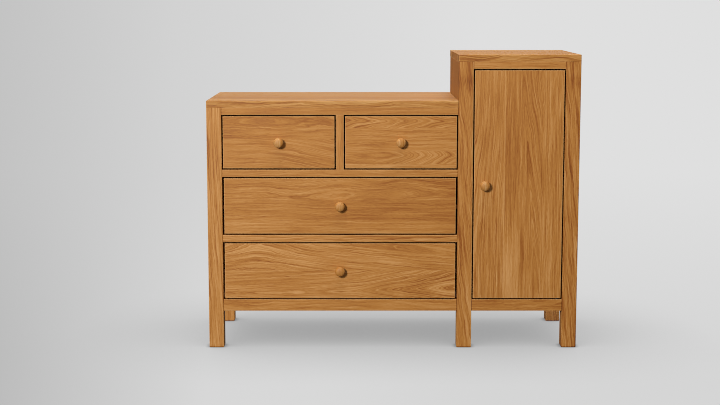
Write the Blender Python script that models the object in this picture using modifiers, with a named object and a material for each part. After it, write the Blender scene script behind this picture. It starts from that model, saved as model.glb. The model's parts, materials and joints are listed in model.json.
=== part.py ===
# Oak chest of drawers joined to a taller one-door cupboard, as separate jointed boards.
# Metres, +Z up. The front faces -Y and the origin is under the middle of the whole box.

import math

import bmesh
import bpy
from mathutils import Matrix, Vector

# Overall sizes
CASE_WIDTH = 1.200
CASE_DEPTH = 0.453
LOW_HEIGHT = 0.808
CUPBOARD_WIDTH = 0.391
CUPBOARD_RISE = 0.147

# Case members
POST_WIDTH = 0.0478
POST_DEPTH = 0.0478
LEG_HEIGHT = 0.122
TOP_THICKNESS = 0.022
RAIL_HEIGHT = 0.0235
BOTTOM_RAIL_HEIGHT = 0.0375
REAR_RAIL_DEPTH = 0.030
DIVIDER_WIDTH = 0.0254
PANEL_THICKNESS = 0.016
BACK_THICKNESS = 0.012
SHELF_THICKNESS = 0.016
LOWER_OPENING = 0.1895

# Drawers
FRONT_THICKNESS = 0.020
SIDE_THICKNESS = 0.014
DRAWER_BACK_THICKNESS = 0.012
DRAWER_BOTTOM_THICKNESS = 0.006
SIDE_DROP = 0.018
SIDE_RISE = 0.006
BOTTOM_RISE = 0.010
BACK_DROP = 0.006
SIDE_TAIL = 0.012
REAR_CLEARANCE = 0.020
RUNNER_HEIGHT = 0.014

# Door, its pivots and its catch
DOOR_THICKNESS = 0.020
PIVOT_RADIUS = 0.004
PIVOT_COLLAR_RADIUS = 0.007
PIVOT_IN_DOOR = 0.014
SWING_CLEARANCE = 0.0008
HEEL_CLEARANCE = 0.003
CATCH_WIDTH = 0.040
CATCH_DEPTH = 0.014
CATCH_HEIGHT = 0.012
CATCH_FROM_EDGE = 0.030

# Knobs
KNOB_DIAMETER = 0.032
KNOB_HEAD = 0.020
KNOB_REACH = 0.0255
KNOB_NECK_RADIUS = 0.0075
KNOB_TENON_RADIUS = 0.005
KNOB_TENON_LENGTH = 0.014
KNOB_FROM_DOOR_EDGE = 0.0347

# Fits
REVEAL = 0.0044
WIDE_SIDE_REVEAL = 0.0060
SEAT_GAP = 0.0003
RUN_CLEARANCE = 0.0006
EASED_EDGE = 0.0012

# Joinery, as shares of the member that holds the joint
TENON_SHARE = 0.40
TENON_WALL = 1 / 3
RAIL_SHOULDER = 0.20
GROOVE_SHARE = 1 / 6
TONGUE_WALL = 1 / 3
DADO_SHARE = 0.30
LAP_SHARE = 0.50
RUNNER_BITE_SHARE = 0.50
BOTTOM_GROOVE_SHARE = 0.35
BACK_DADO_SHARE = 0.25
PIVOT_IN_RAIL_SHARE = 0.60

# Facets of the round pieces, and how near their points meet on the axis
KNOB_STEPS = 24
KNOB_ARC_POINTS = 13
KNOB_FULLNESS = 2.5
BORE_SIDES = 16
MERGE_DISTANCE = 0.00001

# Colours of the woods and metal
OAK = ("satin_oak", (0.50, 0.23, 0.075), 0.45, 0.0)
OAK_TURNED = ("turned_oak", (0.55, 0.27, 0.095), 0.42, 0.0)
DRAWER_WOOD = ("drawer_birch", (0.66, 0.48, 0.29), 0.55, 0.0)
RUNNER_WOOD = ("runner_beech", (0.56, 0.34, 0.18), 0.50, 0.0)
STEEL = ("brushed_steel", (0.58, 0.57, 0.55), 0.35, 1.0)

# Places that follow from the sizes
TALL_HEIGHT = LOW_HEIGHT + CUPBOARD_RISE
FRONT_Y = (KNOB_REACH - CASE_DEPTH) / 2
BACK_Y = FRONT_Y + CASE_DEPTH
POST_BACK_Y = FRONT_Y + POST_DEPTH
REAR_BACK_Y = BACK_Y - BACK_THICKNESS - SEAT_GAP
REAR_FRONT_Y = REAR_BACK_Y - POST_DEPTH
LEFT_X = -CASE_WIDTH / 2
RIGHT_X = CASE_WIDTH / 2
MIDDLE_X = RIGHT_X - CUPBOARD_WIDTH
LOW_OPENING_X = (LEFT_X + POST_WIDTH, MIDDLE_X)
TALL_OPENING_X = (MIDDLE_X + POST_WIDTH, RIGHT_X - POST_WIDTH)
DIVIDER_X = (sum(LOW_OPENING_X) - DIVIDER_WIDTH) / 2
LOW_UNDERSIDE_Z = LOW_HEIGHT - TOP_THICKNESS
TALL_UNDERSIDE_Z = TALL_HEIGHT - TOP_THICKNESS
BOTTOM_RAIL_Z = (LEG_HEIGHT, LEG_HEIGHT + BOTTOM_RAIL_HEIGHT)
BOTTOM_DRAWER_Z = (BOTTOM_RAIL_Z[1], BOTTOM_RAIL_Z[1] + LOWER_OPENING)
LOWER_RAIL_Z = (BOTTOM_DRAWER_Z[1], BOTTOM_DRAWER_Z[1] + RAIL_HEIGHT)
MIDDLE_DRAWER_Z = (LOWER_RAIL_Z[1], LOWER_RAIL_Z[1] + LOWER_OPENING)
UPPER_RAIL_Z = (MIDDLE_DRAWER_Z[1], MIDDLE_DRAWER_Z[1] + RAIL_HEIGHT)
LOW_TOP_RAIL_Z = (LOW_UNDERSIDE_Z - SEAT_GAP - RAIL_HEIGHT, LOW_UNDERSIDE_Z - SEAT_GAP)
TOP_DRAWER_Z = (UPPER_RAIL_Z[1], LOW_TOP_RAIL_Z[0])
TALL_TOP_RAIL_Z = (TALL_UNDERSIDE_Z - SEAT_GAP - RAIL_HEIGHT, TALL_UNDERSIDE_Z - SEAT_GAP)
DOOR_Z = (BOTTOM_RAIL_Z[1] + REVEAL, TALL_TOP_RAIL_Z[0] - REVEAL)
DOOR_X = (TALL_OPENING_X[0] + REVEAL, TALL_OPENING_X[1] - REVEAL)

# The pivot sits just far enough in for the door's heel to clear the post as it swings
HEEL_ROOM = REVEAL - SWING_CLEARANCE
PIVOT_INSET = (DOOR_THICKNESS ** 2 / 4 - HEEL_ROOM ** 2) / (2 * HEEL_ROOM)
PIVOT_X = DOOR_X[1] - PIVOT_INSET
PIVOT_Y = FRONT_Y + DOOR_THICKNESS / 2
HEEL_RADIUS = math.hypot(PIVOT_INSET, DOOR_THICKNESS / 2)
FLOOR_FRONT_Y = PIVOT_Y + HEEL_RADIUS + HEEL_CLEARANCE


def clear_scene():
    for item in list(bpy.data.objects):
        bpy.data.objects.remove(item)


def new_collection(name):
    collection = bpy.data.collections.new(name)
    bpy.context.scene.collection.children.link(collection)
    return collection


def material_for(kind):
    name, colour, roughness, metallic = kind
    found = bpy.data.materials.get(name)
    if found:
        return found
    material = bpy.data.materials.new(name)
    material.use_nodes = True
    shader = material.node_tree.nodes["Principled BSDF"]
    shader.inputs["Base Color"].default_value = (*colour, 1)
    shader.inputs["Roughness"].default_value = roughness
    shader.inputs["Metallic"].default_value = metallic
    return material


# A box is (x0, x1, y0, y1, z0, z1).

def grown(box, room=SEAT_GAP):
    return tuple(v + room * (1 if i % 2 else -1) for i, v in enumerate(box))


def centre_of(box):
    return Vector(((box[0] + box[1]) / 2, (box[2] + box[3]) / 2, (box[4] + box[5]) / 2))


def size_of(box):
    return Vector((box[1] - box[0], box[3] - box[2], box[5] - box[4]))


def box_mesh(name, box, origin):
    shape = bmesh.new()
    place = Matrix.LocRotScale(centre_of(box) - origin, None, size_of(box))
    bmesh.ops.create_cube(shape, size=1, matrix=place)
    mesh = bpy.data.meshes.new(name)
    shape.to_mesh(mesh)
    shape.free()
    return mesh


def hold(item, parent):
    item.parent = parent
    item.matrix_parent_inverse = Matrix.Translation(parent.location).inverted()


def shaper(board, mesh, operation):
    # A hidden solid that is cut out of a board, or added to it as a tenon or tongue
    tool = bpy.data.objects.new(mesh.name, mesh)
    tool.location = board.location
    tool.hide_render = True
    tool.display_type = "WIRE"
    shapers.objects.link(tool)
    hold(tool, board)
    step = board.modifiers.new(mesh.name, "BOOLEAN")
    step.operation = operation
    step.object = tool


def board(name, box, kind, carrier, added=None, cuts=()):
    # A board with eased edges, its tenon or tongue added and its neighbours' pockets cut
    origin = centre_of(box)
    item = bpy.data.objects.new(name, box_mesh(name, box, origin))
    item.location = origin
    item.data.materials.append(material_for(kind))
    dresser.objects.link(item)
    hold(item, carrier)
    ease = item.modifiers.new("eased_edges", "BEVEL")
    ease.width = EASED_EDGE
    ease.segments = 1
    ease.limit_method = "NONE"
    if added:
        shaper(item, box_mesh(name + "_tenon", added, origin), "UNION")
    for number, cut in enumerate(cuts):
        shaper(item, box_mesh(name + "_cut_" + str(number), cut, origin), "DIFFERENCE")
    return item


def round_cut(item, name, radius, low, high, axis):
    # A round pocket in a board, from point low to point high along the axis letter
    shape = bmesh.new()
    middle = (Vector(low) + Vector(high)) / 2
    turn = Matrix.Rotation(math.pi / 2, 4, "X") if axis == "Y" else Matrix()
    place = Matrix.Translation(middle - item.location) @ turn
    bmesh.ops.create_cone(
        shape,
        cap_ends=True,
        segments=BORE_SIDES,
        radius1=radius,
        radius2=radius,
        depth=(Vector(high) - Vector(low)).length,
        matrix=place,
    )
    mesh = bpy.data.meshes.new(name)
    shape.to_mesh(mesh)
    shape.free()
    shaper(item, mesh, "DIFFERENCE")


def turned(name, profile, steps, kind, place, turn, carrier):
    # A profile of (radius, height) points, from the top down, turned about its own Z axis
    mesh = bpy.data.meshes.new(name)
    points = [(radius, 0, height) for radius, height in profile]
    mesh.from_pydata(points, [(i, i + 1) for i in range(len(points) - 1)], [])
    item = bpy.data.objects.new(name, mesh)
    item.location = place
    item.rotation_euler = turn
    item.data.materials.append(material_for(kind))
    dresser.objects.link(item)
    hold(item, carrier)
    lathe = item.modifiers.new("lathe", "SCREW")
    lathe.steps = steps
    lathe.render_steps = steps
    lathe.use_merge_vertices = True
    lathe.merge_threshold = MERGE_DISTANCE
    lathe.use_smooth_shade = True


def carrier_at(name, place):
    # The point that a group of boards moves with
    empty = bpy.data.objects.new(name, None)
    empty.location = place
    empty.empty_display_size = POST_WIDTH
    dresser.objects.link(empty)
    return empty


def rail_tenon(box):
    # One bar through a rail that stands out at both ends into the posts
    length = POST_WIDTH * TENON_SHARE
    wall = (box[3] - box[2]) * (1 - TENON_WALL) / 2
    shoulder = (box[5] - box[4]) * RAIL_SHOULDER
    return (
        box[0] - length,
        box[1] + length,
        box[2] + wall,
        box[3] - wall,
        box[4] + shoulder,
        box[5] - shoulder,
    )


def panel_tongue(box):
    # One plate through a side panel that stands out at both ends into the posts' grooves
    reach = POST_DEPTH * GROOVE_SHARE
    wall = (box[1] - box[0]) * (1 - TONGUE_WALL) / 2
    return (box[0] + wall, box[1] - wall, box[2] - reach, box[3] + reach, box[4] + reach, box[5] - reach)


def divider_tenon(box):
    # One upright bar at the divider's front that stands out into the rails above and below
    reach = RAIL_HEIGHT * TENON_SHARE
    wall = (box[1] - box[0]) * (1 - TENON_WALL) / 2
    depth = POST_DEPTH * (1 - TENON_WALL) / 2
    return (
        box[0] + wall,
        box[1] - wall,
        FRONT_Y + depth,
        POST_BACK_Y - depth,
        box[4] - reach,
        box[5] + reach,
    )


def between(span, room=SEAT_GAP):
    return span[0] + room, span[1] - room


def knob_profile():
    # A flattened ball, whose outline is a superellipse, on a short neck over a plain tenon
    radius = KNOB_DIAMETER / 2
    middle = KNOB_REACH - KNOB_HEAD / 2
    power = 2 / KNOB_FULLNESS
    start = math.pi / 2
    end = -math.acos((KNOB_NECK_RADIUS / radius) ** (1 / power))
    points = [(0, KNOB_REACH)]
    for i in range(1, KNOB_ARC_POINTS + 1):
        angle = start + (end - start) * i / KNOB_ARC_POINTS
        rise = math.copysign(abs(math.sin(angle)) ** power, math.sin(angle))
        points.append((radius * math.cos(angle) ** power, middle + rise * KNOB_HEAD / 2))
    points.append((KNOB_NECK_RADIUS, SEAT_GAP))
    points.append((KNOB_TENON_RADIUS, SEAT_GAP))
    points.append((KNOB_TENON_RADIUS, -KNOB_TENON_LENGTH))
    points.append((0, -KNOB_TENON_LENGTH))
    return points


def knob(name, face, x, z, carrier):
    # The knob stands on the face of a board, with its tenon in a bore there
    round_cut(
        face,
        name + "_bore",
        KNOB_TENON_RADIUS + SEAT_GAP,
        (x, FRONT_Y - KNOB_TENON_LENGTH, z),
        (x, FRONT_Y + KNOB_TENON_LENGTH + SEAT_GAP, z),
        "Y",
    )
    turn = (math.pi / 2, 0, 0)
    turned(name, knob_profile(), KNOB_STEPS, OAK_TURNED, (x, FRONT_Y, z), turn, carrier)


def post_box(x, y, z0, z1):
    return (x, x + POST_WIDTH, y, y + POST_DEPTH, z0, z1)


def build_case(case):
    low_x = between(LOW_OPENING_X)
    tall_x = between(TALL_OPENING_X)
    rail_y = (FRONT_Y, POST_BACK_Y)
    panel_y = between((POST_BACK_Y, REAR_FRONT_Y))
    low_top_z = LOW_UNDERSIDE_Z - SEAT_GAP
    tall_top_z = TALL_UNDERSIDE_Z - SEAT_GAP
    right_x = RIGHT_X - POST_WIDTH

    posts = {
        "front_left_post": post_box(LEFT_X, FRONT_Y, 0, low_top_z),
        "front_middle_post": post_box(MIDDLE_X, FRONT_Y, 0, tall_top_z),
        "front_right_post": post_box(right_x, FRONT_Y, 0, tall_top_z),
        "rear_left_post": post_box(LEFT_X, REAR_FRONT_Y, 0, low_top_z),
        "rear_middle_post": post_box(MIDDLE_X, REAR_FRONT_Y, BOTTOM_RAIL_Z[1] + SEAT_GAP, tall_top_z),
        "rear_right_post": post_box(right_x, REAR_FRONT_Y, 0, tall_top_z),
    }
    rails = {
        "low_top_rail": (*low_x, *rail_y, *LOW_TOP_RAIL_Z),
        "upper_drawer_rail": (*low_x, *rail_y, *UPPER_RAIL_Z),
        "lower_drawer_rail": (*low_x, *rail_y, *LOWER_RAIL_Z),
        "low_bottom_rail": (*low_x, *rail_y, *BOTTOM_RAIL_Z),
        "tall_top_rail": (*tall_x, *rail_y, *TALL_TOP_RAIL_Z),
        "tall_bottom_rail": (*tall_x, *rail_y, *BOTTOM_RAIL_Z),
        "rear_bottom_rail": (
            *between((LEFT_X + POST_WIDTH, right_x)),
            REAR_BACK_Y - REAR_RAIL_DEPTH,
            REAR_BACK_Y,
            *BOTTOM_RAIL_Z,
        ),
    }
    panels = {
        "left_side_panel": (LEFT_X, LEFT_X + PANEL_THICKNESS, *panel_y, LEG_HEIGHT, low_top_z),
        "partition_panel": (MIDDLE_X, MIDDLE_X + PANEL_THICKNESS, *panel_y, LEG_HEIGHT, tall_top_z),
        "right_side_panel": (RIGHT_X - PANEL_THICKNESS, RIGHT_X, *panel_y, LEG_HEIGHT, tall_top_z),
    }
    back_y = (REAR_BACK_Y + SEAT_GAP, BACK_Y)
    back_split_x = MIDDLE_X + POST_WIDTH / 2
    inside_x = (MIDDLE_X + PANEL_THICKNESS, RIGHT_X - PANEL_THICKNESS)
    dado = PANEL_THICKNESS * DADO_SHARE
    floor_z = BOTTOM_RAIL_Z[1] + SEAT_GAP
    floor_box = (*between(inside_x), FLOOR_FRONT_Y, REAR_BACK_Y, floor_z, floor_z + SHELF_THICKNESS)
    shelf_z = (floor_box[5] + TALL_TOP_RAIL_Z[0] - SHELF_THICKNESS) / 2
    shelf_box = (
        *between(inside_x, -dado),
        POST_BACK_Y + POST_DEPTH * GROOVE_SHARE,
        REAR_BACK_Y,
        shelf_z,
        shelf_z + SHELF_THICKNESS,
    )
    divider_box = (
        DIVIDER_X,
        DIVIDER_X + DIVIDER_WIDTH,
        FRONT_Y,
        REAR_BACK_Y,
        *between(TOP_DRAWER_Z),
    )

    tenons = {name: rail_tenon(box) for name, box in rails.items()}
    tongues = {name: panel_tongue(box) for name, box in panels.items()}
    divider_bar = divider_tenon(divider_box)
    low_rails = ["low_top_rail", "upper_drawer_rail", "lower_drawer_rail", "low_bottom_rail"]
    tall_rails = ["tall_top_rail", "tall_bottom_rail"]
    joined = {
        "front_left_post": [tenons[n] for n in low_rails] + [tongues["left_side_panel"]],
        "front_middle_post": [tenons[n] for n in low_rails + tall_rails] + [tongues["partition_panel"]],
        "front_right_post": [tenons[n] for n in tall_rails] + [tongues["right_side_panel"]],
        "rear_left_post": [tenons["rear_bottom_rail"], tongues["left_side_panel"]],
        "rear_middle_post": [tongues["partition_panel"]],
        "rear_right_post": [tenons["rear_bottom_rail"], tongues["right_side_panel"]],
    }
    for name, box in posts.items():
        board(name, box, OAK, case, cuts=[grown(tool) for tool in joined[name]])

    made = {}
    for name, box in rails.items():
        pocket = [grown(divider_bar)] if name in ("low_top_rail", "upper_drawer_rail") else []
        made[name] = board(name, box, OAK, case, added=tenons[name], cuts=pocket)
    for name, box in panels.items():
        pocket = [] if name == "left_side_panel" else [grown(shelf_box)]
        board(name, box, OAK, case, added=tongues[name], cuts=pocket)

    case_y = (FRONT_Y, BACK_Y)
    low_top = (LEFT_X, MIDDLE_X - SEAT_GAP, *case_y, LOW_UNDERSIDE_Z, LOW_HEIGHT)
    tall_top = (MIDDLE_X, RIGHT_X, *case_y, TALL_UNDERSIDE_Z, TALL_HEIGHT)
    board("low_top", low_top, OAK, case)
    board("tall_top", tall_top, OAK, case)
    low_back = (LEFT_X, back_split_x - SEAT_GAP, *back_y, LEG_HEIGHT, low_top_z)
    tall_back = (back_split_x, RIGHT_X, *back_y, LEG_HEIGHT, tall_top_z)
    board("low_back_panel", low_back, OAK, case)
    board("tall_back_panel", tall_back, OAK, case)
    board("drawer_divider", divider_box, OAK, case, added=divider_bar)

    corners = [grown(posts[n]) for n in posts if "left" not in n]
    board("cupboard_floor", floor_box, OAK, case, cuts=corners)
    board("shelf", shelf_box, OAK, case, cuts=[box for box in corners if box[2] > FRONT_Y])
    return made


def build_runner(name, face_x, side, reveal, z, case):
    # A strip on an upright face that a drawer's side rides on. Side is +1 where it stands out to +X.
    width = reveal + SIDE_THICKNESS * RUNNER_BITE_SHARE - RUN_CLEARANCE - SEAT_GAP
    near = face_x + side * SEAT_GAP
    far = near + side * width
    box = (
        min(near, far),
        max(near, far),
        FRONT_Y + FRONT_THICKNESS + SEAT_GAP,
        REAR_BACK_Y - REAR_CLEARANCE,
        z - RUNNER_HEIGHT / 2,
        z + RUNNER_HEIGHT / 2,
    )
    board(name, box, RUNNER_WOOD, case)
    return box


def build_drawer(name, opening_x, opening_z, side_reveal, case):
    x0, x1 = between(opening_x, side_reveal)
    z0, z1 = between(opening_z, REVEAL)
    front_back_y = FRONT_Y + FRONT_THICKNESS
    side_end_y = REAR_BACK_Y - REAR_CLEARANCE
    side_z = (z0 + SIDE_RISE, z1 - SIDE_DROP)
    runner_z = sum(side_z) / 2
    bottom_z = side_z[0] + BOTTOM_RISE
    bottom_top_z = bottom_z + DRAWER_BOTTOM_THICKNESS
    groove = SIDE_THICKNESS * BOTTOM_GROOVE_SHARE
    dado = SIDE_THICKNESS * BACK_DADO_SHARE
    inner = between((x0, x1), SIDE_THICKNESS)

    slide = carrier_at(name + "_slide", ((x0 + x1) / 2, FRONT_Y, (z0 + z1) / 2))
    runners = [
        build_runner(name + "_left_runner", opening_x[0], 1, side_reveal, runner_z, case),
        build_runner(name + "_right_runner", opening_x[1], -1, side_reveal, runner_z, case),
    ]
    side_y = (front_back_y - FRONT_THICKNESS * LAP_SHARE, side_end_y)
    left_side = (x0, inner[0], *side_y, *side_z)
    right_side = (inner[1], x1, *side_y, *side_z)
    back_y = (side_end_y - SIDE_TAIL - DRAWER_BACK_THICKNESS, side_end_y - SIDE_TAIL)
    back = (*between(inner, -dado), *back_y, bottom_top_z + SEAT_GAP, side_z[1] - BACK_DROP)
    bottom = (*between(inner, -groove), front_back_y - groove, back_y[1], bottom_z, bottom_top_z)

    # Each groove runs from just behind the front to past the side's end, and rides on its runner
    grooves = [
        (
            box[0] - RUN_CLEARANCE,
            box[1] + RUN_CLEARANCE,
            front_back_y,
            side_end_y + REAR_CLEARANCE,
            box[4] - RUN_CLEARANCE,
            box[5] + SEAT_GAP,
        )
        for box in runners
    ]
    pockets = [grown(left_side), grown(right_side), grown(bottom)]
    front_box = (x0, x1, FRONT_Y, front_back_y, z0, z1)
    front = board(name + "_front", front_box, OAK, slide, cuts=pockets)
    inner_pockets = [grown(bottom), grown(back)]
    board(name + "_left_side", left_side, DRAWER_WOOD, slide, cuts=[*inner_pockets, grooves[0]])
    board(name + "_right_side", right_side, DRAWER_WOOD, slide, cuts=[*inner_pockets, grooves[1]])
    board(name + "_back", back, DRAWER_WOOD, slide)
    board(name + "_bottom", bottom, DRAWER_WOOD, slide)
    knob(name + "_knob", front, (x0 + x1) / 2, (z0 + z1) / 2, slide)


def build_pivot(name, rail, in_rail, collar, case):
    # A pin let into a rail that the door turns on. The lower one has a collar that carries the door.
    up = -1 if rail.location.z > DOOR_Z[1] else 1
    rail_z = DOOR_Z[0] - REVEAL if up > 0 else DOOR_Z[1] + REVEAL
    round_cut(
        rail,
        name + "_bore",
        PIVOT_RADIUS + SEAT_GAP,
        (PIVOT_X, PIVOT_Y, rail_z - up * (in_rail + SEAT_GAP)),
        (PIVOT_X, PIVOT_Y, rail_z + up * in_rail),
        "Z",
    )
    top = REVEAL + PIVOT_IN_DOOR - SEAT_GAP
    profile = [(0, top), (PIVOT_RADIUS, top)]
    if collar:
        profile.append((PIVOT_RADIUS, REVEAL - SEAT_GAP))
        profile.append((PIVOT_COLLAR_RADIUS, REVEAL - SEAT_GAP))
        profile.append((PIVOT_COLLAR_RADIUS, SEAT_GAP))
        profile.append((PIVOT_RADIUS, SEAT_GAP))
    profile.append((PIVOT_RADIUS, -in_rail))
    profile.append((0, -in_rail))
    turn = (0, 0, 0) if up > 0 else (math.pi, 0, 0)
    turned(name, profile, BORE_SIDES, STEEL, (PIVOT_X, PIVOT_Y, rail_z), turn, case)


def build_door(rails, case):
    hinge = carrier_at("door_hinge", (PIVOT_X, PIVOT_Y, sum(DOOR_Z) / 2))
    box = (*DOOR_X, FRONT_Y, FRONT_Y + DOOR_THICKNESS, *DOOR_Z)
    door = board("door_panel", box, OAK, hinge)
    for end, z in (("lower", DOOR_Z[0]), ("upper", DOOR_Z[1])):
        round_cut(
            door,
            "door_" + end + "_bore",
            PIVOT_RADIUS + SEAT_GAP,
            (PIVOT_X, PIVOT_Y, z - PIVOT_IN_DOOR),
            (PIVOT_X, PIVOT_Y, z + PIVOT_IN_DOOR),
            "Z",
        )
    knob("door_knob", door, DOOR_X[0] + KNOB_FROM_DOOR_EDGE, sum(DOOR_Z) / 2, hinge)
    in_rail = RAIL_HEIGHT * PIVOT_IN_RAIL_SHARE
    build_pivot("upper_pivot_pin", rails["tall_top_rail"], in_rail, False, case)
    build_pivot("lower_pivot_pin", rails["tall_bottom_rail"], in_rail, True, case)
    catch_x = DOOR_X[0] + CATCH_FROM_EDGE
    catch_y = FRONT_Y + DOOR_THICKNESS + SEAT_GAP
    catch_z = TALL_TOP_RAIL_Z[0] - SEAT_GAP
    catch = (
        catch_x,
        catch_x + CATCH_WIDTH,
        catch_y,
        catch_y + CATCH_DEPTH,
        catch_z - CATCH_HEIGHT,
        catch_z,
    )
    board("door_catch", catch, STEEL, case)


def build_dresser():
    case = carrier_at("case", (0, 0, 0))
    rails = build_case(case)
    left_x = (LOW_OPENING_X[0], DIVIDER_X)
    right_x = (DIVIDER_X + DIVIDER_WIDTH, LOW_OPENING_X[1])
    build_drawer("top_left_drawer", left_x, TOP_DRAWER_Z, REVEAL, case)
    build_drawer("top_right_drawer", right_x, TOP_DRAWER_Z, REVEAL, case)
    build_drawer("middle_drawer", LOW_OPENING_X, MIDDLE_DRAWER_Z, WIDE_SIDE_REVEAL, case)
    build_drawer("bottom_drawer", LOW_OPENING_X, BOTTOM_DRAWER_Z, WIDE_SIDE_REVEAL, case)
    build_door(rails, case)


clear_scene()
dresser = new_collection("tall_dresser")
shapers = new_collection("shapers")
build_dresser()
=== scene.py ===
# Oak chest of drawers joined to a taller cupboard: boards, knobs, finishes, studio light and camera.
# Metres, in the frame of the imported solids. The front faces -Y.

import json
import math

import bpy
import numpy as np
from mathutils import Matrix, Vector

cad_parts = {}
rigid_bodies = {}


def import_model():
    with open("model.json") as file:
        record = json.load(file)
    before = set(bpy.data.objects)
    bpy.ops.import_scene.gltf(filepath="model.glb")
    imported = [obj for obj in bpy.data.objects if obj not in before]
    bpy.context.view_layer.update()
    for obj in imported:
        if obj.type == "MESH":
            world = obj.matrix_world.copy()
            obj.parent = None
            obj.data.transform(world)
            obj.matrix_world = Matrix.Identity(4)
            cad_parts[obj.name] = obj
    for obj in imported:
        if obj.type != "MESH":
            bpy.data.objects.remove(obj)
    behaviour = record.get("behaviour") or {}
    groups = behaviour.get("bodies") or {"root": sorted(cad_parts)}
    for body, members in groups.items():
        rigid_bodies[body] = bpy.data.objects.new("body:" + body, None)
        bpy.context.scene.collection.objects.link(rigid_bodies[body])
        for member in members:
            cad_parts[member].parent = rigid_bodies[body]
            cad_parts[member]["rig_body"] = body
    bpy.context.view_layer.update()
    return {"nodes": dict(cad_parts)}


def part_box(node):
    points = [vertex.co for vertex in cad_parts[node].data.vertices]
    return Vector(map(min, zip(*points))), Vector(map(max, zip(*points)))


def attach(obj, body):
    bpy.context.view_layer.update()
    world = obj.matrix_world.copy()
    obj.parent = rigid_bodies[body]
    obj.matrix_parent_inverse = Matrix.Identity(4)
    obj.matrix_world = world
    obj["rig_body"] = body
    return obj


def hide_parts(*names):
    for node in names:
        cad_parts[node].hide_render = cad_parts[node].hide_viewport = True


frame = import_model()
nodes = frame["nodes"]
scene = bpy.context.scene


def linearColour(hexText):
    # sRGB hex to linear, the way the shader sockets want it
    values = np.array([int(hexText[i:i + 2], 16) for i in (1, 3, 5)]) / 255
    linear = np.where(values <= 0.04045, values / 12.92, ((values + 0.055) / 1.055) ** 2.4)
    return (*[float(v) for v in linear], 1.0)


def addNode(tree, kind, inputs=None, ramp=None, **settings):
    # One node with its settings. An input is a number, a colour, or the node that feeds it.
    made = tree.nodes.new("ShaderNode" + kind)
    for name, value in settings.items():
        setattr(made, name, value)
    for key, value in (inputs or {}).items():
        source = value.outputs[0] if isinstance(value, bpy.types.Node) else value
        if isinstance(source, bpy.types.NodeSocket):
            tree.links.new(source, made.inputs[key])
        else:
            made.inputs[key].default_value = source
    for place, hexText in ramp or []:
        stops = made.color_ramp.elements
        free = stops[0] if place == ramp[0][0] else stops[-1] if place == ramp[-1][0] else stops.new(place)
        free.position = place
        free.color = linearColour(hexText)
    return made


def remap(tree, value, span=(0.0, 1.0), result=(0.0, 1.0)):
    # The span of a value, stretched to the result and held at its ends
    return addNode(tree, "MapRange", {0: value, 1: span[0], 2: span[1], 3: result[0], 4: result[1]})


def stretchedNoise(tree, vector, sizes, detail, **settings):
    # Noise whose patches have these sizes along the three parts of the vector
    scales = tuple(1 / size for size in sizes)
    scaled = addNode(tree, "VectorMath", {0: vector, 1: scales}, operation="MULTIPLY")
    return addNode(tree, "TexNoise", {"Vector": scaled, "Scale": 1.0, "Detail": detail}, **settings)


def addShare(tree, noise, share, value):
    # The noise about its middle, times its share, on top of a value
    centred = addNode(tree, "Math", {0: noise, 1: 0.5}, operation="SUBTRACT")
    return addNode(tree, "Math", {0: centred, 1: share, 2: value}, operation="MULTIPLY_ADD")


def bareMaterial(name):
    # A new material and its node tree, still empty
    material = bpy.data.materials.new(name)
    material.use_nodes = True
    material.node_tree.nodes.clear()
    return material, material.node_tree


# Camera, as the photograph was taken: a long lens, a little above the dresser, looking slightly down
cameraFit = {
    "lens": 71.52,  # mm
    "sensor": 36,
    "place": (-0.1068, -4.79375, 1.118),
    "pitch": 82.059,  # degrees from straight down
    "farthest": 200,
}
cameraData = bpy.data.cameras.new("camera")
cameraData.lens = cameraFit["lens"]
cameraData.sensor_width = cameraFit["sensor"]
cameraData.clip_end = cameraFit["farthest"]
camera = bpy.data.objects.new("camera", cameraData)
camera.location = cameraFit["place"]
camera.rotation_euler = (math.radians(cameraFit["pitch"]), 0, 0)
scene.collection.objects.link(camera)
scene.camera = camera
scene.view_settings.view_transform = "Standard"
scene.cycles.filter_width = 1.0  # the photograph is crisp
print("camera: lens", cameraFit["lens"], "mm")


# Lamps: one at the upper left front, soft boxes over and behind the tops, and light off the floor.
# One size is a round lamp's, two are a soft box's.
lamps = {
    "key_lamp": {
        "place": (-2.59, -5.78, 2.67),
        "aim": (-0.05, -0.2, 0.50),
        "size": (1.4,),
        "power": 394,
    },
    "top_box": {
        "place": (0.10, -0.50, 4.20),
        "aim": (0.10, -0.40, 0.0),
        "size": (3.2, 2.0),
        "power": 124,
    },
    # Only its sheen on the tops is seen from the front
    "back_box": {
        "place": (0.0, 3.6, 2.10),
        "aim": (0.1, 0.0, 0.8),
        "size": (3.0, 1.0),
        "power": 15,
    },
    # What the pale floor sends in under the case
    "floor_bounce": {
        "place": (0.12, -0.12, 0.055),
        "aim": (0.12, 1.0, 0.055),
        "size": (0.95, 0.09),
        "power": 1.55,
    },
}
for name, lamp in lamps.items():
    data = bpy.data.lights.new(name, "AREA")
    data.shape = "DISK" if len(lamp["size"]) == 1 else "RECTANGLE"
    data.size = lamp["size"][0]
    data.size_y = lamp["size"][-1]
    data.energy = lamp["power"]
    item = bpy.data.objects.new(name, data)
    item.location = lamp["place"]
    away = np.array(lamp["place"]) - np.array(lamp["aim"])
    level = math.hypot(away[0], away[1])
    item.rotation_euler = (math.atan2(level, away[2]), 0, math.atan2(away[0], -away[1]))
    item.visible_camera = False
    scene.collection.objects.link(item)

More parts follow.
